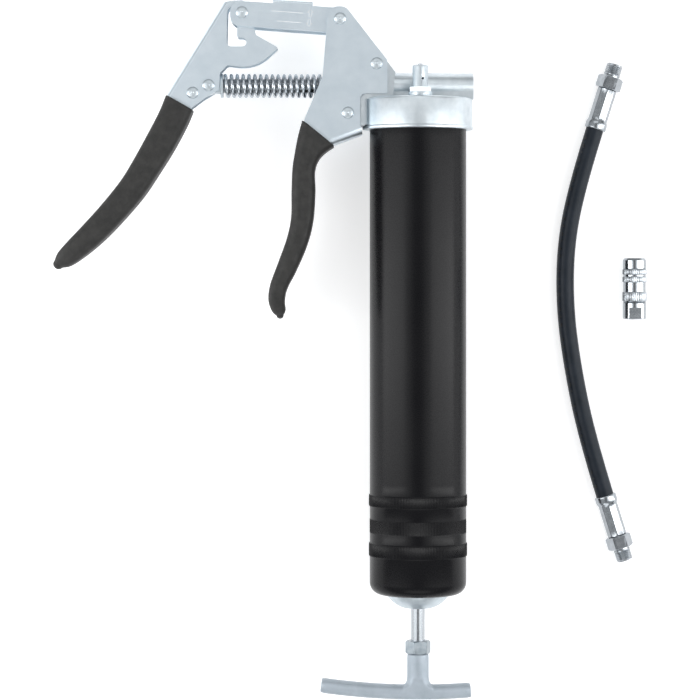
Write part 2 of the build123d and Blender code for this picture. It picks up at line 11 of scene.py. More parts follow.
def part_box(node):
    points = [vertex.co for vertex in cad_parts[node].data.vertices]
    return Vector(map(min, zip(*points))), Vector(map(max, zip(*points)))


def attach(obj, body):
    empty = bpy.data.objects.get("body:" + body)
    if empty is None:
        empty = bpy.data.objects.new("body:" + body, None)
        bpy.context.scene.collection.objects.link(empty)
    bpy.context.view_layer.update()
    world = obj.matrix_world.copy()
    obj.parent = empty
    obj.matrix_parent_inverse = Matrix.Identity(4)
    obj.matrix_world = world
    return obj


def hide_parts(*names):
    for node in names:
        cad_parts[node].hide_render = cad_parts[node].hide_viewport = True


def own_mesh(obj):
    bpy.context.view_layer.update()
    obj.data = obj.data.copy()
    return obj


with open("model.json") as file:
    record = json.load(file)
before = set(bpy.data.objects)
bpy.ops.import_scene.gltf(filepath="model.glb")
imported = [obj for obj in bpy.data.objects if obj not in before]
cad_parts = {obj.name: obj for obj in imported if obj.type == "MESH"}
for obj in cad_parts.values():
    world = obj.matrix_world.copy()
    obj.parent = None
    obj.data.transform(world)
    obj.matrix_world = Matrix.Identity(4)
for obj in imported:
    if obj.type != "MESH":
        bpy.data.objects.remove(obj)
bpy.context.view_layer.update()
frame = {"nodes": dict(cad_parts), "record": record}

MM = 0.001
UP = Vector((0, 0, 1))
barrel_low, barrel_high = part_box("barrel_tube")
plunger_low, plunger_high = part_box("pump_plunger")
# Where the barrel's axis meets the pump's axis.
AXIS = Vector(
    (
        (barrel_low.x + barrel_high.x) / 2,
        (plunger_low.y + plunger_high.y) / 2,
        (barrel_low.z + barrel_high.z) / 2,
    )
)


def at(x, y, z=0.0):
    """A point of the design, in millimetres from the crossing of the two axes, in the row frame."""
    return AXIS + Vector((x, y, z)) * MM


# ---------------------------------------------------------------- camera

# Metres above the gun's middle plane, and what the picture's width spans there.
VIEW_HEIGHT = 1.56
VIEW_WIDTH = 0.406
# The picture's centre, and how much nearer the head the lens stands, in millimetres.
VIEW_CENTRE = (-39.4, -153.1)
LENS_OFFSET = 43.0
SENSOR_WIDTH = 36.0
NEAR_CLIP = 0.05


def make_camera():
    """Looks straight down, with the barrel upright in the picture."""
    data = bpy.data.cameras.new("camera")
    camera = bpy.data.objects.new("camera", data)
    bpy.context.scene.collection.objects.link(camera)
    centre_x, centre_y = VIEW_CENTRE
    camera.location = at(centre_x, centre_y + LENS_OFFSET) + Vector((0, 0, VIEW_HEIGHT))
    data.sensor_width = SENSOR_WIDTH
    data.lens = data.sensor_width * VIEW_HEIGHT / VIEW_WIDTH
    data.shift_y = -LENS_OFFSET * MM / VIEW_WIDTH
    data.clip_start = NEAR_CLIP
    bpy.context.scene.camera = camera


make_camera()

# ---------------------------------------------------------------- materials


def nodes_of(name):
    """A new material, its nodes, its links and its main shader."""
    material = bpy.data.materials.new(name)
    material.use_nodes = True
    tree = material.node_tree
    return material, tree.nodes, tree.links, tree.nodes["Principled BSDF"]


def noise(nodes, links, place, scale, detail=4.0, roughness=0.55):
    """A noise texture over the object's own coordinates, stretched by a mapping."""
    mapping = nodes.new("ShaderNodeMapping")
    mapping.inputs["Scale"].default_value = place
    coordinates = nodes.new("ShaderNodeTexCoord")
    links.new(coordinates.outputs["Object"], mapping.inputs["Vector"])
    texture = nodes.new("ShaderNodeTexNoise")
    texture.inputs["Scale"].default_value = scale
    texture.inputs["Detail"].default_value = detail
    texture.inputs["Roughness"].default_value = roughness
    links.new(mapping.outputs["Vector"], texture.inputs["Vector"])
    return texture


def ramp(nodes, links, source, stops):
    """A colour ramp after an output socket. stops are (position, colour or grey)."""
    node = nodes.new("ShaderNodeValToRGB")
    elements = node.color_ramp.elements
    while len(elements) < len(stops):
        elements.new(0.5)
    for element, (position, colour) in zip(elements, stops):
        rgb = colour if isinstance(colour, tuple) else (colour, colour, colour)
        element.position = position
        element.color = (*rgb, 1.0)
    links.new(source, node.inputs["Fac"])
    return node


def bump(nodes, links, shader, layers):
    """Bump from several height sources, each (texture, depth in metres)."""
    last = None
    for source, depth in layers:
        node = nodes.new("ShaderNodeBump")
        node.inputs["Strength"].default_value = 1.0
        node.inputs["Distance"].default_value = depth
        links.new(source.outputs["Fac"], node.inputs["Height"])
        if last:
            links.new(last.outputs["Normal"], node.inputs["Normal"])
        last = node
    links.new(last.outputs["Normal"], shader.inputs["Normal"])


def finish_material(
    name, colours, rough, metallic, patches, grain, depths, stretch=(1, 1, 1), **sockets
):
    """A surface whose colour and roughness drift in patches, with a fine grain in its bump."""
    material, nodes, links, shader = nodes_of(name)
    broad = noise(nodes, links, stretch, patches)
    fine = noise(nodes, links, stretch, grain, detail=3.0, roughness=0.6)
    tint = ramp(nodes, links, broad.outputs["Fac"], ((0.3, colours[0]), (0.7, colours[1])))
    links.new(tint.outputs["Color"], shader.inputs["Base Color"])
    gloss = ramp(nodes, links, fine.outputs["Fac"], ((0.25, rough[0]), (0.75, rough[1])))
    links.new(gloss.outputs["Color"], shader.inputs["Roughness"])
    shader.inputs["Metallic"].default_value = metallic
    for socket, value in sockets.items():
        shader.inputs[socket.replace("_", " ")].default_value = value
    bump(nodes, links, shader, ((broad, depths[0]), (fine, depths[1])))
    return material


# Each finish holds its colours and its roughness, both from low to high, how metallic it is, the
# noise scales of its patches and its grain per metre, and the bump depths of the two in metres.
FINISHES = {
    "zinc_sheet": (
        ((0.68, 0.765, 0.83), (0.76, 0.84, 0.90)), (0.32, 0.44), 1.0, 90, 2600, (2e-5, 4e-6)
    ),
    "stamped_marks": (
        ((0.72, 0.76, 0.79), (0.84, 0.87, 0.89)), (0.40, 0.55), 0.3, 400, 3000, (5e-6, 3e-6)
    ),
    "dark_steel": (
        ((0.16, 0.18, 0.20), (0.24, 0.26, 0.28)), (0.22, 0.34), 1.0, 300, 4000, (5e-6, 3e-6)
    ),
    "nut_steel": (
        ((0.26, 0.30, 0.33), (0.36, 0.40, 0.43)), (0.30, 0.42), 1.0, 300, 4000, (8e-6, 4e-6)
    ),
    "zinc_turned": (
        ((0.50, 0.56, 0.60), (0.60, 0.655, 0.69)), (0.36, 0.48), 1.0, 300, 5000, (8e-6, 3e-6)
    ),
    "cast_zinc": (
        ((0.58, 0.64, 0.68), (0.70, 0.755, 0.79)), (0.32, 0.46), 1.0, 160, 1400, (3e-5, 1.2e-5)
    ),
    "handle_cast": (
        ((0.34, 0.39, 0.435), (0.41, 0.46, 0.51)), (0.50, 0.62), 0.55, 120, 2200, (1e-5, 1.2e-5)
    ),
    "rod_steel": (
        ((0.36, 0.385, 0.41), (0.44, 0.465, 0.49)), (0.14, 0.24), 1.0, 400, 6000, (3e-6, 2e-6)
    ),
    "spring_steel": (
        ((0.46, 0.50, 0.54), (0.58, 0.62, 0.66)), (0.18, 0.30), 1.0, 300, 4000, (6e-6, 3e-6)
    ),
    "black_barrel": (
        ((0.0045, 0.0045, 0.0055), (0.0065, 0.0065, 0.0075)), (0.24, 0.31), 0.0, 40, 1500,
        (1e-5, 6e-6)
    ),
    "black_grip": (
        ((0.016, 0.016, 0.0155), (0.030, 0.029, 0.028)), (0.50, 0.66), 0.0, 220, 2400, (3e-5, 4e-5)
    ),
    "hose_rubber": (
        ((0.009, 0.013, 0.019), (0.016, 0.021, 0.029)), (0.34, 0.46), 0.0, 150, 2500, (1e-5, 1e-5)
    ),
    "hose_print": (
        ((0.004, 0.004, 0.005), (0.008, 0.008, 0.009)), (0.25, 0.35), 0.0, 400, 2500, (1e-5, 1e-5)
    ),
    "seal_rubber": (
        ((0.012, 0.012, 0.012), (0.022, 0.022, 0.022)), (0.55, 0.7), 0.0, 200, 2000, (1e-5, 1e-5)
    ),
    "brass_parts": (
        ((0.66, 0.48, 0.20), (0.76, 0.58, 0.28)), (0.22, 0.34), 1.0, 300, 4000, (5e-6, 3e-6)
    ),
    "chrome_parts": (
        ((0.31, 0.335, 0.36), (0.40, 0.425, 0.45)), (0.14, 0.24), 1.0, 350, 5000, (5e-6, 2e-6)
    ),
}
FINISH_EXTRAS = {
    "rod_steel": {"stretch": (1, 0.04, 1)},
    "black_barrel": {"Specular_IOR_Level": 0.12},
    "black_grip": {"Specular_IOR_Level": 0.35},
    "hose_rubber": {"Specular_IOR_Level": 0.16},
}
MATERIALS = {
    name: finish_material(name, *finish, **FINISH_EXTRAS.get(name, {}))
    for name, finish in FINISHES.items()
}


def paint(piece, material):
    """Puts one material in the only slot of a piece."""
    piece.data.materials.clear()
    piece.data.materials.append(MATERIALS[material])


def paint_cad_nodes():
    """Gives each CAD node the detailed material of its record slot."""
    for entry in frame["record"]["subparts"]:
        paint(frame["nodes"][entry["node"]], entry["material_slot"])


paint_cad_nodes()
# The pump plunger takes the darker steel as painted shade: it darkens what shows between the return
# spring's coils.
paint(frame["nodes"]["pump_plunger"], "dark_steel")

# How far each CAD node's sharp edges are rounded, in millimetres.
SOFT_EDGES = {
    "lever_channel": 0.20,
    "handle_frame": 0.15,
    "link_bracket": 0.30,
    "head_casting": 0.55,
    "bleed_body": 0.25,
    "plunger_yoke": 0.4,
    "spring_seat": 0.2,
    "end_plug": 0.3,
}
WELD_GAP = 0.002
EDGE_SEGMENTS = 3
EDGE_ANGLE = 38


def soften_edges(piece, width):
    """Rounds a CAD node's sharp edges and smooths the rest."""
    weld = piece.modifiers.new("weld", "WELD")
    weld.merge_threshold = WELD_GAP * MM
    edge = piece.modifiers.new("edge", "BEVEL")
    edge.width = width * MM
    edge.segments = EDGE_SEGMENTS
    edge.limit_method = "ANGLE"
    edge.angle_limit = radians(EDGE_ANGLE)
    edge.use_clamp_overlap = True
    edge.harden_normals = True


for node, width in SOFT_EDGES.items():
    soften_edges(frame["nodes"][node], width)

# ---------------------------------------------------------------- mesh tools


def add_piece(
    name, verts, faces, material, body, replaced=(), smooth=True, sharp=None
):
    """Makes a mesh piece that rides on a body, in the row frame. sharp is an angle in degrees."""
    mesh = bpy.data.meshes.new(name)
    mesh.from_pydata([tuple(v) for v in verts], [], faces)
    work = bmesh.new()
    work.from_mesh(mesh)
    bmesh.ops.recalc_face_normals(work, faces=work.faces)
    work.to_mesh(mesh)
    work.free()
    piece = bpy.data.objects.new(name, mesh)
    bpy.context.scene.collection.objects.link(piece)
    if smooth:
        mesh.shade_smooth()
    if sharp:
        mesh.set_sharp_from_angle(angle=radians(sharp))
    paint(piece, material)
    if replaced:
        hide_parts(*replaced)
    if body:
        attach(piece, body)
    return piece


def ring_faces(count, sides, closed=False):
    """Faces between rings of points, joined in a loop or with a flat cap at each end."""
    faces = []
    for j in range(count if closed else count - 1):
        low, high = j * sides, (j + 1) % count * sides
        for i in range(sides):
            k = (i + 1) % sides
            faces.append((low + i, low + k, high + k, high + i))
    if not closed:
        faces.append(tuple(range(sides))[::-1])
        faces.append(tuple(range((count - 1) * sides, count * sides)))
    return faces


def strip_faces(rows, columns):
    """Faces of a closed slab stored as rows of columns of (under, over) points."""
    faces = []

    def index(i, j, k):
        return (i * columns + j) * 2 + k

    def wall(start, end):
        return index(*start, 0), index(*start, 1), index(*end, 1), index(*end, 0)

    for i in range(rows - 1):
        for j in range(columns - 1):
            over = ((i, j), (i, j + 1), (i + 1, j + 1), (i + 1, j))
            faces.append(tuple(index(*corner, 1) for corner in over))
            under = ((i, j), (i + 1, j), (i + 1, j + 1), (i, j + 1))
            faces.append(tuple(index(*corner, 0) for corner in under))
        for j in (0, columns - 1):
            faces.append(wall((i, j), (i + 1, j)))
    for j in range(columns - 1):
        for i in (0, rows - 1):
            faces.append(wall((i, j), (i, j + 1)))
    return faces


def turned(rows, place, segments, shape=None, closed=False):
    """Vertices and faces of a turned form. rows are (radius, height) in millimetres.

    The height runs along place's Z. shape(radius, height, angle) may change the radius. A closed
    profile joins its last row to its first, and an open one gets flat ends.
    """
    verts = []
    for radius, height in rows:
        for i in range(segments):
            angle = 2 * pi * i / segments
            r = shape(radius, height, angle) if shape else radius
            point = Vector((r * cos(angle) * MM, r * sin(angle) * MM, height * MM))
            verts.append(place @ point)
    return verts, ring_faces(len(rows), segments, closed)


def axis_place(origin, direction, up=(0, 0, 1)):
    """A matrix whose Z runs along a direction, and whose Y points as nearly up as it can."""
    z = Vector(direction).normalized()
    x = Vector(up).cross(z).normalized()
    y = z.cross(x)
    place = Matrix((x, y, z)).transposed().to_4x4()
    place.translation = origin
    return place


def join(*forms):
    """Several (vertices, faces) forms as one."""
    verts, faces = [], []
    for more_verts, more_faces in forms:
        start = len(verts)
        verts += list(more_verts)
        faces += [tuple(start + i for i in face) for face in more_faces]
    return verts, faces


def steps(start, end, count):
    """Evenly spaced values from start to end, both included."""
    return [start + (end - start) * i / (count - 1) for i in range(count)]


def tube_along(points, radius, sides):
    """A round wire through points, with flat ends."""
    verts = []
    for i, point in enumerate(points):
        along = (points[min(i + 1, len(points) - 1)] - points[max(i - 1, 0)]).normalized()
        side = along.cross(UP).normalized()
        up = side.cross(along)
        for k in range(sides):
            angle = 2 * pi * k / sides
            verts.append(point + (side * cos(angle) + up * sin(angle)) * radius)
    return verts, ring_faces(len(points), sides)


# ---------------------------------------------------------------- hose, a free cord

HOSE_R = 5.2
FITTING_Z = -25.5
HOSE_Z = -26.8
HOSE_ROUTE = (
    (104.9, -23.7, FITTING_Z),
    (95.4, -54.0, FITTING_Z),
    (87.9, -90.0, HOSE_Z),
    (87.2, -128.0, HOSE_Z),
    (92.2, -166.0, HOSE_Z),
    (100.6, -206.0, FITTING_Z),
    (110.9, -239.5, FITTING_Z),
)
# Heights along a hose end, from the ferrule's mouth: where the ferrule is pressed, where it ends,
# where the hexagon ends, and the thread.
CRIMP_LOW, CRIMP_HIGH = 5.2, 24.2
CRIMP_FADE = 1.4
FERRULE_END = 24.7
HEX_END = 32.2
THREAD_LOW, THREAD_HIGH = 33.2, 40.1
HEX_APOTHEM = 6.5
# The raised marks along the hose: where they start, their pitch, their lengths in turn, how many
# stand in a group with the gap after it, and how far they reach under and over the hose.
MARK_START = 6.0
MARK_PITCH = 4.4
MARK_LENGTHS = (1.3, 2.1, 0.9, 1.7)
MARK_GROUP = 9
MARK_LIFTS = (-0.3, 0.16)


def route_curve(name):
    """The hose's centreline as a NURBS curve."""
    curve = bpy.data.curves.new(name, "CURVE")
    curve.dimensions = "3D"
    spline = curve.splines.new("NURBS")
    spline.points.add(len(HOSE_ROUTE) - 1)
    for point, place in zip(spline.points, HOSE_ROUTE):
        point.co = (*at(*place), 1.0)
    spline.order_u = 3
    spline.use_endpoint_u = True
    spline.resolution_u = 24
    piece = bpy.data.objects.new(name, curve)
    bpy.context.scene.collection.objects.link(piece)
    return piece


def centreline():
    """Points along the hose's NURBS centreline."""
    thin = route_curve("hose_line")
    bpy.context.view_layer.update()
    mesh = bpy.data.meshes.new_from_object(thin)
    points = [v.co.copy() for v in mesh.vertices]
    bpy.data.objects.remove(thin)
    bpy.data.meshes.remove(mesh)
    return points


def polygon_radius(apothem, sides, angle, turn=0.0):
    """The radius of a regular polygon at an angle, a flat facing along turn."""
    part = 2 * pi / sides
    within = (angle - turn + part / 2) % part - part / 2
    return apothem / cos(within)


HEX_CHAMFER = 30.0


def chamfered_hex(apothem, low, high, bore=None):
    """Rows and shape of a hexagon, its corners turned off at both ends. A flat faces along Y."""
    corner = apothem / cos(pi / 6)
    drop = (corner - apothem) * tan(radians(HEX_CHAMFER)) * 1.1

    def shape(radius, height, angle):
        edge = min(height - low, high - height)
        cone = apothem * 0.985 + edge / tan(radians(HEX_CHAMFER))
        return min(polygon_radius(apothem, 6, angle, pi / 2), cone, radius)

    rows = [(corner, h) for h in steps(low, low + drop, 4)]
    rows += [(corner, h) for h in steps(high - drop, high, 4)]
    if bore:
        rows += [(bore, high), (bore, low)]
    return rows, shape


def threaded(radius, depth, pitch, low, high):
    """Rows and shape of a V thread that runs out at both ends."""
    rows = [(radius, h) for h in steps(low, high, int((high - low) / pitch * 8) + 1)]

    def shape(r, height, angle):
        phase = (height / pitch - angle / (2 * pi)) % 1.0
        tooth = abs(2 * phase - 1)
        fade = min(1.0, (height - low) / pitch)
        return r - depth * tooth * fade - max(0.0, height - high + 0.8) * 0.9

    return rows, shape


def hose_fitting(name, end, inside, body):
    """Crimped ferrule and hexagon fitting at a hose end, in place of the CAD ones."""
    place = axis_place(at(*end), at(*end) - at(*inside))

    def crimp(radius, height, angle):
        if height < CRIMP_LOW or height > CRIMP_HIGH:
            return radius
        flat_radius = min(polygon_radius(5.25, 8, angle, pi / 8), 5.62)
        fade = min(1.0, (height - CRIMP_LOW) / CRIMP_FADE, (CRIMP_HIGH - height) / CRIMP_FADE)
        ridge = 0.16 * max(0.0, cos(angle * 8 + pi)) ** 6
        return radius + (flat_radius + ridge - radius) * fade

    rows = [(HOSE_R + 0.02, 0.0), (6.1, 0.0), (6.32, 0.25), (6.4, 0.7), (6.35, 1.6), (6.4, 2.6)]
    rows += [(6.32, 3.8), (6.0, 4.7), (5.75, CRIMP_LOW)]
    rows += [(5.6, h) for h in steps(5.6, 23.8, 14)]
    rows += [(5.6, CRIMP_HIGH), (5.3, 24.5), (5.1, FERRULE_END), (2.5, FERRULE_END), (2.5, 0.0)]
    verts, faces = turned(rows, place, 96, crimp, closed=True)
    ferrule = add_piece(
        f"ferrule_{name}", verts, faces, "chrome_parts", body, (f"hose_ferrule_{name}",), sharp=50
    )

    rows, hex_shape = chamfered_hex(HEX_APOTHEM, FERRULE_END, HEX_END)
    hexagon = turned(rows, place, 96, hex_shape)
    thread_rows, thread = threaded(4.93, 0.42, 1.0, THREAD_LOW, THREAD_HIGH)

    def threaded_tip(radius, height, angle):
        if height > THREAD_LOW - 0.05 and radius > 4.6:
            return thread(radius, height, angle)
        return radius

    rows = [(4.5, HEX_END), (4.5, THREAD_LOW - 0.1), *thread_rows]
    rows += [(3.0, THREAD_HIGH), (1.8, 39.2), (1.8, 36.0)]
    verts, faces = join(hexagon, turned(rows, place, 64, threaded_tip))
    fitting = add_piece(
        f"fitting_{name}", verts, faces, "chrome_parts", body, (f"hose_fitting_{name}",), sharp=35
    )
    return [ferrule, fitting]


def make_hose():
    """The rubber hose with its crimped ends and a run of plain dashes moulded along it."""
    tube = route_curve("hose")
    tube.data.bevel_depth = HOSE_R * MM
    tube.data.bevel_resolution = 12
    tube.data.use_fill_caps = True
    tube.data.materials.append(MATERIALS["hose_rubber"])
    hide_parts("hose_tube")
    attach(tube, "hose")
    ends = hose_fitting("top", HOSE_ROUTE[0], HOSE_ROUTE[1], "hose")
    ends += hose_fitting("bottom", HOSE_ROUTE[-1], HOSE_ROUTE[-2], "hose")
    dashes = hose_dashes(centreline())


def hose_dashes(line):
    """Raised plain marks along the hose's upper right side."""
    lengths = [0.0]
    for before, after in zip(line, line[1:]):
        lengths.append(lengths[-1] + (after - before).length)

    def sample(distance):
        for i in range(len(line) - 1):
            if lengths[i + 1] >= distance:
                share = (distance - lengths[i]) / (lengths[i + 1] - lengths[i])
                return line[i].lerp(line[i + 1], share), (line[i + 1] - line[i]).normalized()
        return line[-1], (line[-1] - line[-2]).normalized()

    forms = []
    marks = int(lengths[-1] / (MARK_PITCH * MM)) - 2
    for m in range(marks):
        if m % MARK_GROUP == MARK_GROUP - 1:
            continue
        start = (MARK_START + MARK_PITCH * m) * MM
        length = MARK_LENGTHS[m % len(MARK_LENGTHS)] * MM
        verts = []
        for distance in steps(start, start + length, 3):
            point, along = sample(distance)
            side = along.cross(UP).normalized()
            for turn in steps(radians(38), radians(52), 4):
                outward = side * sin(turn) + UP * cos(turn)
                for lift in MARK_LIFTS:
                    verts.append(point + outward * (HOSE_R + lift) * MM)
        forms.append((verts, strip_faces(3, 4)))
    verts, faces = join(*forms)
    return add_piece(
        "hose_marks", verts, faces, "hose_print", "hose", smooth=False
    )


make_hose()

# ---------------------------------------------------------------- barrel

BARREL_R = 28.0
BARREL_TOP = -11.8
BARREL_BOTTOM = -294.5
BARREL_FOOT_R = 7.0
# Each knurled band: its top, its bottom and how far it stands out.
BANDS = ((-236.3, -243.6, 0.5), (-250.3, -259.0, 0.05), (-264.2, -272.5, 0.5))
KNURLS = 190
KNURL_DEPTH = 0.22


def make_barrel():
    """The black barrel: two raised knurled bands, a flush one between them, and a rounded foot."""

    def knurl(radius, height, angle):
        for high, low, lift in BANDS:
            if low < height < high and radius > BARREL_R - 0.1:
                fade = min(1.0, (high - height) / 0.7, (height - low) / 0.7)
                tooth = abs(((angle * KNURLS / (2 * pi)) % 1.0) * 2 - 1)
                return radius + fade * (lift - KNURL_DEPTH * tooth)
        return radius

    rows = [(BARREL_R - 0.3, BARREL_TOP), (BARREL_R, BARREL_TOP - 0.4)]
    rows += [(BARREL_R, h) for h in steps(-30.0, -230.0, 9)]
    for high, low, _ in BANDS:
        rows += [(BARREL_R, high + 0.05)]
        rows += [(BARREL_R, h) for h in steps(high - 0.15, high - 0.8, 3)]
        rows += [(BARREL_R, h) for h in steps(low + 0.8, low + 0.15, 3)]
        rows += [(BARREL_R, low - 0.05)]
    foot = BARREL_FOOT_R
    for i in range(11):
        turn = pi / 2 * i / 10
        rows.append((BARREL_R - foot + foot * cos(turn), BARREL_BOTTOM + foot - foot * sin(turn)))
    rows += [(16.0, BARREL_BOTTOM), (10.0, BARREL_BOTTOM)]
    rows += [(10.0, BARREL_BOTTOM + 1.5), (21.0, BARREL_BOTTOM + 1.5)]
    rows += [(25.0, BARREL_BOTTOM + 3.1), (26.5, BARREL_BOTTOM + 7.0), (26.5, BARREL_TOP)]
    place = axis_place(at(0, 0), (0, 1, 0))
    verts, faces = turned(rows, place, KNURLS * 4, knurl, closed=True)
    add_piece("barrel", verts, faces, "black_barrel", "barrel", ("barrel_tube",), sharp=40)


make_barrel()

# ---------------------------------------------------------------- grips

# Rows down each grip: x and y of its middle, its turn in degrees, its width, and its share of the
# full depth.
LEVER_GRIP = (
    (-137.9, -9.9, -29.7, 17.8, 0.92),
    (-142.0, -19.7, -27.0, 17.4, 1.0),
    (-149.3, -33.5, -29.5, 17.2, 1.0),
    (-157.5, -47.4, -32.7, 16.3, 1.0),
    (-165.6, -59.9, -37.0, 15.7, 1.0),
    (-177.4, -74.1, -43.0, 15.1, 0.98),
    (-188.7, -86.0, -46.0, 14.4, 0.95),
    (-198.9, -95.4, -48.0, 12.7, 0.86),
    (-205.0, -100.6, -48.0, 10.4, 0.68),
    (-208.4, -103.3, -46.0, 6.0, 0.40),
)
FIXED_GRIP = (
    (-57.6, -27.7, -38.9, 23.6, 1.0),
    (-63.4, -39.0, -14.0, 15.4, 1.0),
    (-66.1, -48.5, -3.0, 13.0, 1.0),
    (-66.3, -61.0, 0.0, 13.6, 1.0),
    (-67.0, -77.0, -5.0, 12.8, 0.99),
    (-69.9, -90.0, -14.0, 12.3, 0.96),
    (-75.6, -104.6, -22.0, 11.4, 0.92),
    (-80.6, -116.2, -18.0, 10.0, 0.84),
    (-81.9, -124.2, -6.0, 9.4, 0.74),
    (-80.7, -130.2, 4.0, 7.8, 0.58),
    (-79.9, -133.0, 6.0, 4.0, 0.36),
)
GRIP_EDGE_R = 4.6
GRIP_CORNER_POINTS = 12
GRIP_SIDE_POINTS = 6
# The lip at the metal: how far down each ring lies, and its share of the section.
GRIP_LIP = ((0.0, 0.86), (0.0, 0.94), (0.25, 0.98), (0.8, 1.0))
GRIP_TIP_TURNS = (20, 40, 60, 78)


def between(rows, t):
    """A smooth value between the rows of a table, at a place t counted in rows."""
    i = min(int(floor(t)), len(rows) - 2)
    share = t - i
    p = [rows[max(0, min(len(rows) - 1, k))] for k in (i - 1, i, i + 1, i + 2)]
    out = []
    for a, b, c, d in zip(*p):
        square = (2 * a - 5 * b + 4 * c - d) * share**2
        cube = (3 * b - a - 3 * c + d) * share**3
        out.append(0.5 * (2 * b + (c - a) * share + square + cube))
    return out


def rounded_section(half_width, half_depth):
    """Points round a rectangle with large round corners, counter-clockwise."""
    corner = min(0.84 * min(half_width, half_depth), GRIP_EDGE_R)
    flat_x, flat_y = half_width - corner, half_depth - corner
    centres = ((flat_x, flat_y), (-flat_x, flat_y), (-flat_x, -flat_y), (flat_x, -flat_y))
    points = []
    for quarter, (cx, cy) in enumerate(centres):
        start = quarter * pi / 2
        for i in range(GRIP_CORNER_POINTS):
            angle = start + pi / 2 * i / (GRIP_CORNER_POINTS - 1)
            points.append((cx + corner * cos(angle), cy + corner * sin(angle)))
        x0, y0 = points[-1]
        next_x, next_y = centres[(quarter + 1) % 4]
        angle = start + pi / 2
        x1, y1 = next_x + corner * cos(angle), next_y + corner * sin(angle)
        for i in range(1, GRIP_SIDE_POINTS):
            share = i / GRIP_SIDE_POINTS
            points.append((x0 + (x1 - x0) * share, y0 + (y1 - y0) * share))
    return points


def grip_form(stations, half_depth):
    """A moulded grip through its stations, with a rolled lip at the metal and a round tip."""
    slices = []
    for t in steps(0.0, len(stations) - 1.0, (len(stations) - 1) * 8 + 1):
        slices.append((*between(stations, t), 1.0))
    first, last = slices[0], slices[-1]
    down = radians(first[2])
    lip = []
    for drop, share in GRIP_LIP:
        lip.append((first[0] + drop * sin(down), first[1] - drop * cos(down), *first[2:5], share))
    tip = []
    heading = radians(last[2])
    for turn in GRIP_TIP_TURNS:
        reach = last[3] / 2 * sin(radians(turn))
        x = last[0] + reach * sin(heading)
        y = last[1] - reach * cos(heading)
        tip.append((x, y, *last[2:5], cos(radians(turn))))
    slices = lip + slices[1:] + tip
    verts = []
    for x, y, turn, width, share, shrink in slices:
        across = Vector((cos(radians(turn)), sin(radians(turn)), 0))
        ring = rounded_section(width / 2 * shrink, half_depth * share * shrink)
        for u, w in ring:
            verts.append(at(x, y) + across * u * MM + Vector((0, 0, w * MM)))
    return verts, ring_faces(len(slices), len(ring))


def make_grips():
    """The two black moulded grips."""
    for name, stations, half, body in (
        ("lever_grip", LEVER_GRIP, 12.0, "lever"),
        ("fixed_grip", FIXED_GRIP, 15.0, "gun_head"),
    ):
        verts, faces = grip_form(stations, half)
        add_piece(f"{name}_skin", verts, faces, "black_grip", body, (name,), sharp=60)


make_grips()

# ---------------------------------------------------------------- springs


COIL_STEPS = 28
COIL_SIDES = 14
# The return spring between its seat and the head's face, and the clearance at each end.
RETURN_SEAT, RETURN_FACE = -112.8, -47.6
RETURN_CLEARANCE = 0.1
FOLLOWER_LOW, FOLLOWER_HIGH = -286.0, -43.5
OUTLET_LOW, OUTLET_HIGH = 17.7, 20.4
BLEED_LOW, BLEED_HIGH = -13.95, -8.2


def coil(radius_low, radius_high, wire, low, high, turns):
    """A wire spring along Z, in millimetres."""
    points = []
    count = int(turns * COIL_STEPS)
    for i in range(count + 1):
        share = i / count
        angle = 2 * pi * (share * turns)
        radius = radius_low + (radius_high - radius_low) * share
        height = low + wire / 2 + (high - low - wire) * share
        points.append(Vector((radius * cos(angle), radius * sin(angle), height)) * MM)
    return tube_along(points, wire / 2 * MM, COIL_SIDES)


def spring(name, node, place, form, body):
    """A spring in place of its CAD node, with its own copy of its mesh."""
    verts, faces = form
    verts = [place @ v for v in verts]
    piece = add_piece(name, verts, faces, "spring_steel", body, (node,), sharp=60)
    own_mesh(piece)


def make_springs():
    """Return, follower and valve springs."""
    along_x = axis_place(at(0, 0), (1, 0, 0))
    low, high = RETURN_SEAT, RETURN_FACE
    form = coil(6.05, 6.05, 2.1, low + RETURN_CLEARANCE, high - RETURN_CLEARANCE, 18.5)
    spring("return_coil", "return_spring", along_x, form, "gun_head")

    along_y = axis_place(at(0, 0), (0, 1, 0))
    low, high = FOLLOWER_LOW, FOLLOWER_HIGH
    form = coil(18.0, 20.0, 2.5, low, high, 14)
    spring("follower_coil", "follower_spring", along_y, form, "barrel")

    form = coil(2.3, 2.3, 0.5, OUTLET_LOW, OUTLET_HIGH, 3)
    spring("outlet_coil", "outlet_spring", along_x, form, "gun_head")

    bleed = axis_place(at(0.9, 0, 18.0), (0, 1, 0))
    form = coil(1.7, 1.7, 0.5, BLEED_LOW, BLEED_HIGH, 5)
    spring("bleed_coil", "bleed_spring", bleed, form, "gun_head")


make_springs()

# ---------------------------------------------------------------- rod end and handle

NUT_Y = -329.0
NUT_HEIGHT = 7.5
NUT_BORE_R = 4.0
NUT_TURN = 12
# The bar is an arc: the height of its middle, its radius, its ends, and half its section.
BAR_MIDDLE = -351.45
BAR_RADIUS = 392.0
BAR_LEFT, BAR_RIGHT = -56.2, 30.6
BAR_HALF_WIDTH, BAR_HALF_DEPTH = 4.3, 5.6
BAR_ROUNDNESS = 2.3
BAR_SIDES = 40
MERGE_VOXEL = 0.45


def make_nut():
    """The 13 mm lock nut under the handle."""
    place = axis_place(at(0, NUT_Y), (0, 1, 0)) @ Matrix.Rotation(radians(NUT_TURN), 4, "Z")
    rows, hex_shape = chamfered_hex(HEX_APOTHEM, 0.0, NUT_HEIGHT, bore=NUT_BORE_R)

    def bored(radius, height, angle):
        return radius if radius < NUT_BORE_R + 0.5 else hex_shape(radius, height, angle)

    verts, faces = turned(rows, place, 96, bored, closed=True)
    add_piece("lock_nut", verts, faces, "nut_steel", "rod", ("rod_nut",), sharp=30)


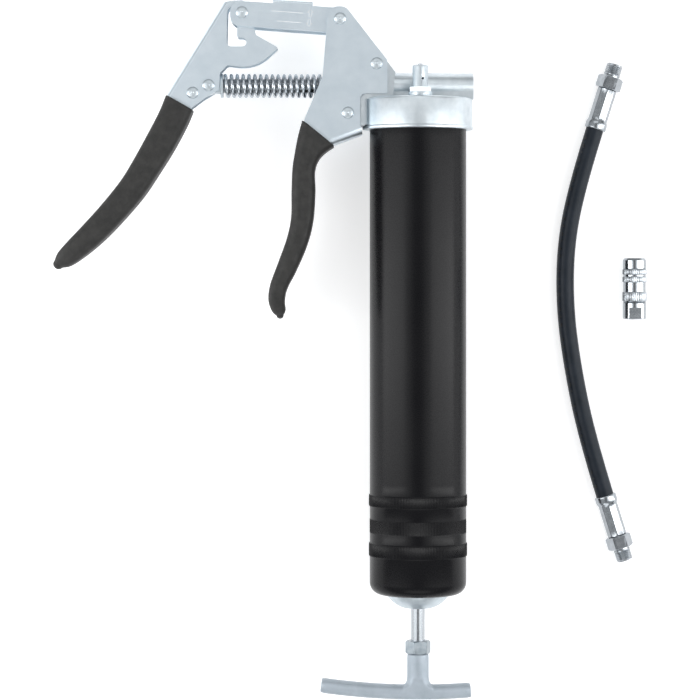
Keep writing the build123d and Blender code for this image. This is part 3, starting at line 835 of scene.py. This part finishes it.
def superellipse(angle, half_width, half_depth, power):
    """A point of a rounded section."""
    c, s = cos(angle), sin(angle)
    x = half_width * abs(c) ** (2 / power) * (1 if c >= 0 else -1)
    y = half_depth * abs(s) ** (2 / power) * (1 if s >= 0 else -1)
    return x, y


def make_handle():
    """The cast pull handle: bar and hub merged with soft fillets."""
    verts = []
    places = steps(BAR_LEFT, BAR_RIGHT, 88)
    for x in places:
        y = BAR_MIDDLE + BAR_RADIUS - sqrt(BAR_RADIUS**2 - x**2)
        edge = min(x - places[0], places[-1] - x)
        shrink = 1.0 if edge > 1.0 else 0.94
        half_width, half_depth = BAR_HALF_WIDTH * shrink, BAR_HALF_DEPTH * shrink
        turn = -atan2(x, BAR_RADIUS)
        for k in range(BAR_SIDES):
            angle = 2 * pi * k / BAR_SIDES
            u, w = superellipse(angle, half_width, half_depth, BAR_ROUNDNESS)
            verts.append(at(x + u * sin(turn), y + u * cos(turn), w))
    bar = (verts, ring_faces(len(places), BAR_SIDES))
    hub_rows = [(5.6, -328.9), (6.2, -329.4), (6.3, -331.0), (6.3, -342.6), (6.5, -344.6)]
    hub_rows += [(7.2, -346.4), (8.6, -347.6), (9.8, -348.4), (9.8, -350.0)]
    place = axis_place(at(0, 0), (0, 1, 0))

    def squeezed(radius, height, angle):
        limit = BAR_HALF_DEPTH / max(abs(sin(angle)), 1e-6) if height < -343.5 else radius
        return min(radius, max(limit, 5.2))

    verts, faces = join(bar, turned(hub_rows, place, 64, squeezed))
    piece = add_piece("pull_handle", verts, faces, "handle_cast", None, ("t_handle",))
    remesh = piece.modifiers.new("merge", "REMESH")
    remesh.mode = "VOXEL"
    remesh.voxel_size = MERGE_VOXEL * MM
    remesh.use_smooth_shade = True
    soften = piece.modifiers.new("soften", "SMOOTH")
    soften.factor = 0.5
    soften.iterations = 8
    apply_modifiers(piece)
    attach(piece, "rod")


def apply_modifiers(piece):
    """Bakes a piece's modifiers into its mesh."""
    bpy.context.view_layer.update()
    graph = bpy.context.evaluated_depsgraph_get()
    mesh = bpy.data.meshes.new_from_object(piece.evaluated_get(graph))
    piece.modifiers.clear()
    piece.data = mesh


make_nut()
make_handle()

# ---------------------------------------------------------------- rivets and pins

PIN_R = 2.4
PIN_HEAD_R = 3.5
PIN_HEAD = 1.2
# The head's profile from the punched dimple outwards: radius, and height from its top.
PIN_DOME = (
    (0.02, -0.35),
    (0.3, -0.3),
    (0.62, -0.05),
    (0.78, 0.0),
    (0.95, -0.03),
    (1.9, -0.12),
    (2.7, -0.34),
    (3.25, -0.66),
    (3.46, -0.95),
    (PIN_HEAD_R, -PIN_HEAD),
)


def riveted_pin(x, y, half):
    """A pin across the middle plane, with a domed and dimpled head at each end."""
    rows = [(radius, half + PIN_HEAD + height) for radius, height in PIN_DOME]
    rows += [(PIN_R, half), (PIN_R, -half)]
    rows += [(radius, -half - PIN_HEAD - height) for radius, height in PIN_DOME[::-1]]
    place = axis_place(at(x, y), (0, 0, 1), up=(0, 1, 0))
    return turned(rows, place, 40)


def make_pins():
    """Every rivet and pivot pin of the levers and the link."""
    pins = (
        ("frame_rivet_heads", "frame_rivets", "gun_head", ((-24.0, 12.2), (-40.6, -16.2)), 12.6),
        ("link_pin_heads", "link_pin", "gun_head", ((-45.1, 38.0),), 12.6),
        ("lever_pin_heads", "lever_pin", "lever", ((-121.1, 0.0),), 8.0),
        ("lever_rivet_heads", "lever_rivet", "lever", ((-130.2, -4.4),), 8.0),
        ("mode_pin_heads", "mode_pin", "link", ((-101.7, 41.8),), 10.3),
    )
    for name, node, body, places, half in pins:
        verts, faces = join(*(riveted_pin(x, y, half) for x, y in places))
        add_piece(name, verts, faces, "zinc_turned", body, (node,), sharp=60)


make_pins()

# ---------------------------------------------------------------- coupler

COUPLER_X = 128.2
COUPLER_KNURL_R = 7.15
COUPLER_R = 6.87
COUPLER_Z = -32.0 + COUPLER_KNURL_R
COUPLER_BANDS = ((-109.4, -106.2), (-113.9, -110.5), (-125.0, -119.6))
COUPLER_TEETH = 44
# Where the sleeve meets the rear, the wrench flats, and half the distance across them.
COUPLER_JOINT = -126.0
FLATS_LOW, FLATS_HIGH = -135.1, -128.8
FLATS_HALF = 5.76


def make_coupler():
    """The coupler's knurled sleeve, and its rear with wrench flats."""
    place = axis_place(at(COUPLER_X, 0, COUPLER_Z), (0, 1, 0))

    def knurl(radius, height, angle):
        for low, high in COUPLER_BANDS:
            if low < height < high and radius > 6.0:
                fade = min(1.0, (high - height) / 0.3, (height - low) / 0.3)
                tooth = abs(((angle * COUPLER_TEETH / (2 * pi)) % 1.0) * 2 - 1)
                return radius + fade * (COUPLER_KNURL_R - COUPLER_R) * (1 - 0.9 * tooth)
        return radius

    rows = [(COUPLER_R - 0.5, COUPLER_JOINT), (COUPLER_R, -125.6)]
    for low, high in COUPLER_BANDS[::-1]:
        rows += [(COUPLER_R - 0.25, low - 0.15), (COUPLER_R, low - 0.02), (COUPLER_R, low + 0.3)]
        rows += [(COUPLER_R, high - 0.3), (COUPLER_R, high + 0.02), (COUPLER_R - 0.25, high + 0.15)]
    rows += [(COUPLER_R, -105.8), (COUPLER_R, -100.9), (COUPLER_R - 0.8, -99.7)]
    rows += [(3.9, -99.7), (3.6, -100.0), (3.6, -101.6), (4.7, -101.6), (4.7, -114.5)]
    rows += [(5.06, -114.5), (5.06, COUPLER_JOINT)]
    verts, faces = turned(rows, place, COUPLER_TEETH * 4, knurl, closed=True)
    sleeve = "coupler_sleeve"
    add_piece("coupler_shell", verts, faces, "chrome_parts", sleeve, (sleeve,), sharp=30)

    def flats(radius, height, angle):
        if FLATS_LOW < height < FLATS_HIGH and radius > 6.0:
            return min(radius, FLATS_HALF / max(abs(sin(angle)), 1e-6))
        return radius

    rows = [(4.5, -127.0), (4.5, -135.4), (4.8, -135.7), (COUPLER_R - 0.6, -135.7)]
    rows += [(COUPLER_R, -135.15), (COUPLER_R, -135.05), (COUPLER_R, -128.85)]
    rows += [(COUPLER_R, -128.75), (COUPLER_R, -126.3), (COUPLER_R - 0.3, COUPLER_JOINT)]
    rows += [(5.0, COUPLER_JOINT), (5.0, -115.0), (1.5, -115.0), (1.5, -127.0)]
    verts, faces = turned(rows, place, 144, flats, closed=True)
    add_piece("coupler_rear", verts, faces, "chrome_parts", "coupler", ("coupler_body",), sharp=30)
    form = coil(3.6, 3.6, 0.7, -115.0, -111.0, 3)
    spring("coupler_coil", "coupler_spring", place, form, "coupler_sleeve")


make_coupler()

# ---------------------------------------------------------------- link marks

LINK_FACE = 10.3
LINK_SLOPE = radians(-4.3)
# The outline of a block arrow, 3.4 mm wide and 4 mm tall.
ARROW = (
    (-0.7, -2.0),
    (-0.7, 0.2),
    (-1.7, 0.2),
    (0.0, 2.0),
    (1.7, 0.2),
    (0.7, 0.2),
    (0.7, -2.0),
    (-0.7, -2.0),
)


def link_marks():
    """Two stamped arrows and two plain strokes on the link's near plate, in place of words."""
    forms = []

    def bar(points, width):
        """A raised stroke through points of the link's face, in millimetres."""
        for (x0, y0), (x1, y1) in zip(points, points[1:]):
            along = Vector((x1 - x0, y1 - y0, 0)).normalized()
            side = Vector((-along.y, along.x, 0)) * width / 2
            verts = []
            for x, y in ((x0, y0), (x1, y1)):
                for offset in (side, -side):
                    for lift in (-0.1, 0.16):
                        verts.append(at(x + offset.x, y + offset.y, LINK_FACE + lift))
            forms.append((verts, strip_faces(2, 2)))

    def arrow(x, y, way):
        """An arrow at a point of the link. way is 1 for up and -1 for down."""
        c, s = cos(LINK_SLOPE), sin(LINK_SLOPE)
        points = [(x + u * c - v * way * s, y + u * s + v * way * c) for u, v in ARROW]
        bar(points, 0.32)

    arrow(-62.2, 41.4, 1)
    arrow(-62.9, 35.6, -1)
    for start, end, y in ((-84.5, -66.5, 42.6), (-81.5, -67.5, 36.8)):
        bar([(start, y), (end, y + (end - start) * tan(LINK_SLOPE))], 0.42)
    verts, faces = join(*forms)
    add_piece(
        "link_marks", verts, faces, "stamped_marks", "link", smooth=False
    )


link_marks()

# ---------------------------------------------------------------- stage and light

FLOOR_HALF = 4.0
FLOOR_DROP = 0.0005
FLOOR_GLOW = 0.47
# The surround's brightness from straight down to straight up.
SKY = ((0.0, 0.16), (0.22, 0.34), (0.55, 0.62), (0.86, 0.48), (1.0, 0.30))


def area_light(name, place, size, power):
    """A rectangular soft light that faces the middle of the gun."""
    data = bpy.data.lights.new(name, "AREA")
    data.shape = "RECTANGLE"
    data.size, data.size_y = size
    data.energy = power
    lamp = bpy.data.objects.new(name, data)
    lamp.location = place
    lamp.rotation_euler = (-Vector(place)).to_track_quat("-Z", "Y").to_euler()
    bpy.context.scene.collection.objects.link(lamp)


def make_stage():
    """A pale floor, a soft surround, two lights at each side, and one at the foot and the head."""
    half = FLOOR_HALF
    corners = [(-half, -half, 0), (half, -half, 0), (half, half, 0), (-half, half, 0)]
    mesh = bpy.data.meshes.new("floor")
    mesh.from_pydata(corners, [], [(0, 1, 2, 3)])
    floor_piece = bpy.data.objects.new("floor", mesh)
    floor_piece.location = (0, 0, -FLOOR_DROP)
    bpy.context.scene.collection.objects.link(floor_piece)
    material, nodes, links, shader = nodes_of("floor")
    shader.inputs["Base Color"].default_value = (0.78, 0.78, 0.785, 1)
    shader.inputs["Roughness"].default_value = 0.9
    shader.inputs["Emission Color"].default_value = (1.0, 1.0, 1.0, 1)
    shader.inputs["Emission Strength"].default_value = FLOOR_GLOW
    mesh.materials.append(material)

    world = bpy.data.worlds.new("surround")
    bpy.context.scene.world = world
    world.use_nodes = True
    nodes, links = world.node_tree.nodes, world.node_tree.links
    coordinates = nodes.new("ShaderNodeTexCoord")
    split = nodes.new("ShaderNodeSeparateXYZ")
    links.new(coordinates.outputs["Generated"], split.inputs["Vector"])
    stops = [(position, (grey * 0.97, grey * 0.99, grey)) for position, grey in SKY]
    sky = ramp(nodes, links, split.outputs["Z"], stops)
    links.new(sky.outputs["Color"], nodes["Background"].inputs["Color"])
    for side, name in ((-1, "left"), (1, "right")):
        # Each side has a broad soft light, and a long narrow one lower down.
        area_light(f"{name}_soft", (side * 1.05, 0.0, 0.74), (0.78, 2.2), 8.0)
        area_light(f"{name}_strip", (side * 1.30, 0.0, 0.45), (0.20, 2.4), 9.0)
    area_light("foot_soft", (0.0, -1.25, 0.85), (1.2, 0.7), 4.0)
    area_light("top_soft", (0.0, 0.95, 1.25), (1.2, 0.6), 2.4)
    bpy.context.scene.view_settings.view_transform = "Standard"


make_stage()

# ---------------------------------------------------------------- end

bpy.context.view_layer.update()
